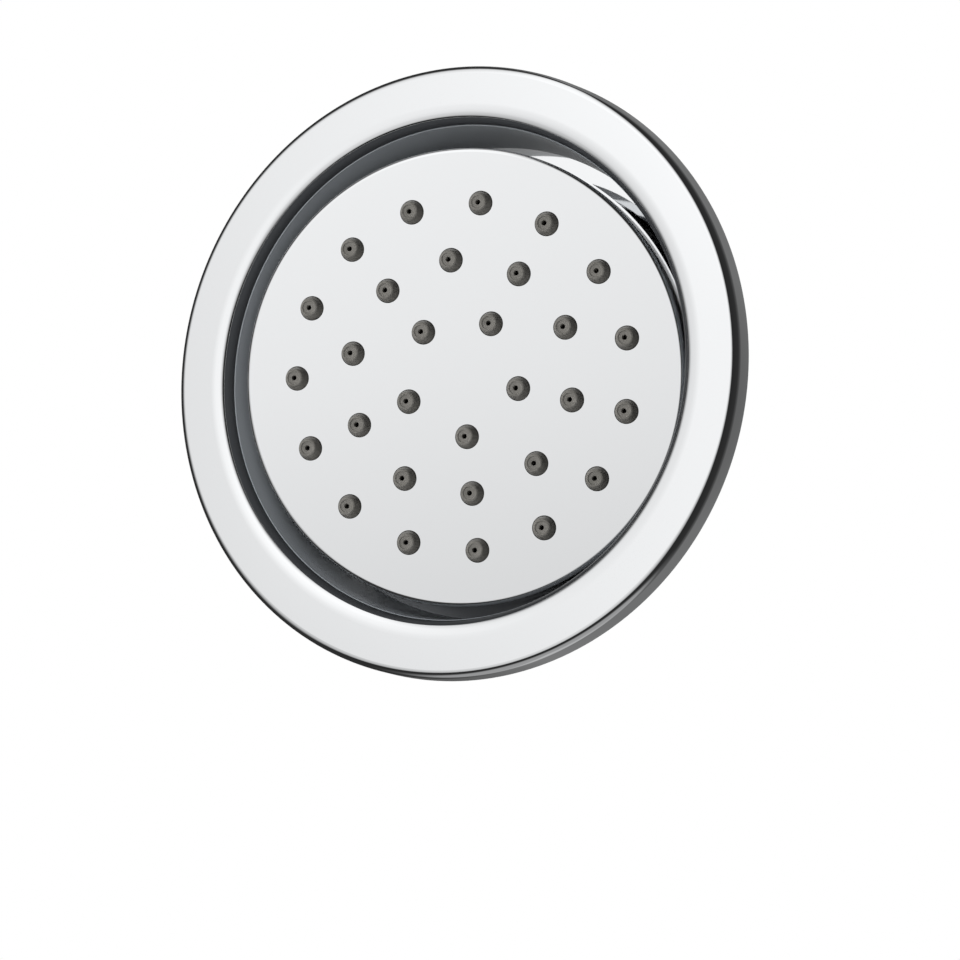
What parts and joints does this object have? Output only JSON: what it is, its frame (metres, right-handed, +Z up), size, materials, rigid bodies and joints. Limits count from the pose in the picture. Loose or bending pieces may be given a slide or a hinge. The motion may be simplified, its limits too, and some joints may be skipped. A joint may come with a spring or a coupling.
{
  "type": "shower body jet",
  "caption": "Round wall-mounted shower body jet: chromed trim ring, swivelling spray plate with rubber nozzles on a ball joint, threaded inlet tail behind.",
  "frame": {"origin": "on the jet's axis, in the finished wall's plane, where the gasket meets the wall", "axes": "+X right as seen by someone facing the wall, +Y into the wall along the inlet, +Z up"},
  "size_m": [0.1054, 0.0648, 0.1054],
  "materials": {
    "chrome": "polished chrome plate",
    "plated_nut": "satin chrome plate",
    "nozzle_rubber": "matt dark grey silicone",
    "seal_rubber": "matt black rubber",
    "gasket_foam": "matt dark foam",
    "shell_plastic": "fine grained black moulding",
    "bearing_plastic": "smooth white acetal",
    "inlet_plastic": "smooth grey-blue moulding",
    "brass": "turned brass",
    "cast_metal": "as cast, fine grained",
    "steel": "plain stainless steel"
  },
  "bodies": {
    "fixed": {"trim_ring": "chrome", "trim_o_ring": "seal_rubber", "back_disc": "chrome", "wall_gasket": "gasket_foam", "carrier": "cast_metal", "ball_stem": "brass", "stem_washer": "seal_rubber", "lock_washer": "steel", "stem_locknut": "brass", "flow_restrictor": "inlet_plastic", "restrictor_o_ring": "seal_rubber", "inlet_strainer": "steel", "inlet_circlip": "steel"},
    "pan_liner": {"slip_ring": "bearing_plastic"},
    "tilt_seat": {"ball_seat": "bearing_plastic"},
    "head": {"spray_plate": "chrome", "nozzle_mat": "nozzle_rubber", "head_shell": "shell_plastic", "head_screws": "steel", "seat_o_ring": "seal_rubber", "swivel_nut": "plated_nut"}
  },
  "joints": [
    {"name": "head_pan", "type": "hinge", "parent": "fixed", "child": "pan_liner", "pos_m": [0, 0.0127, 0], "axis": [0, 0, 1], "range_deg": [-15.7, 0.3]},
    {"name": "head_tilt", "type": "hinge", "parent": "pan_liner", "child": "tilt_seat", "pos_m": [0, 0.0127, 0], "axis": [0.991, 0.134, 0], "range_deg": [-12.5, 3.5]},
    {"name": "head_spin", "type": "hinge", "parent": "tilt_seat", "child": "head", "pos_m": [0, 0.0127, 0], "axis": [-0.1336, 0.9879, 0.0785], "continuous": true}
  ]
}
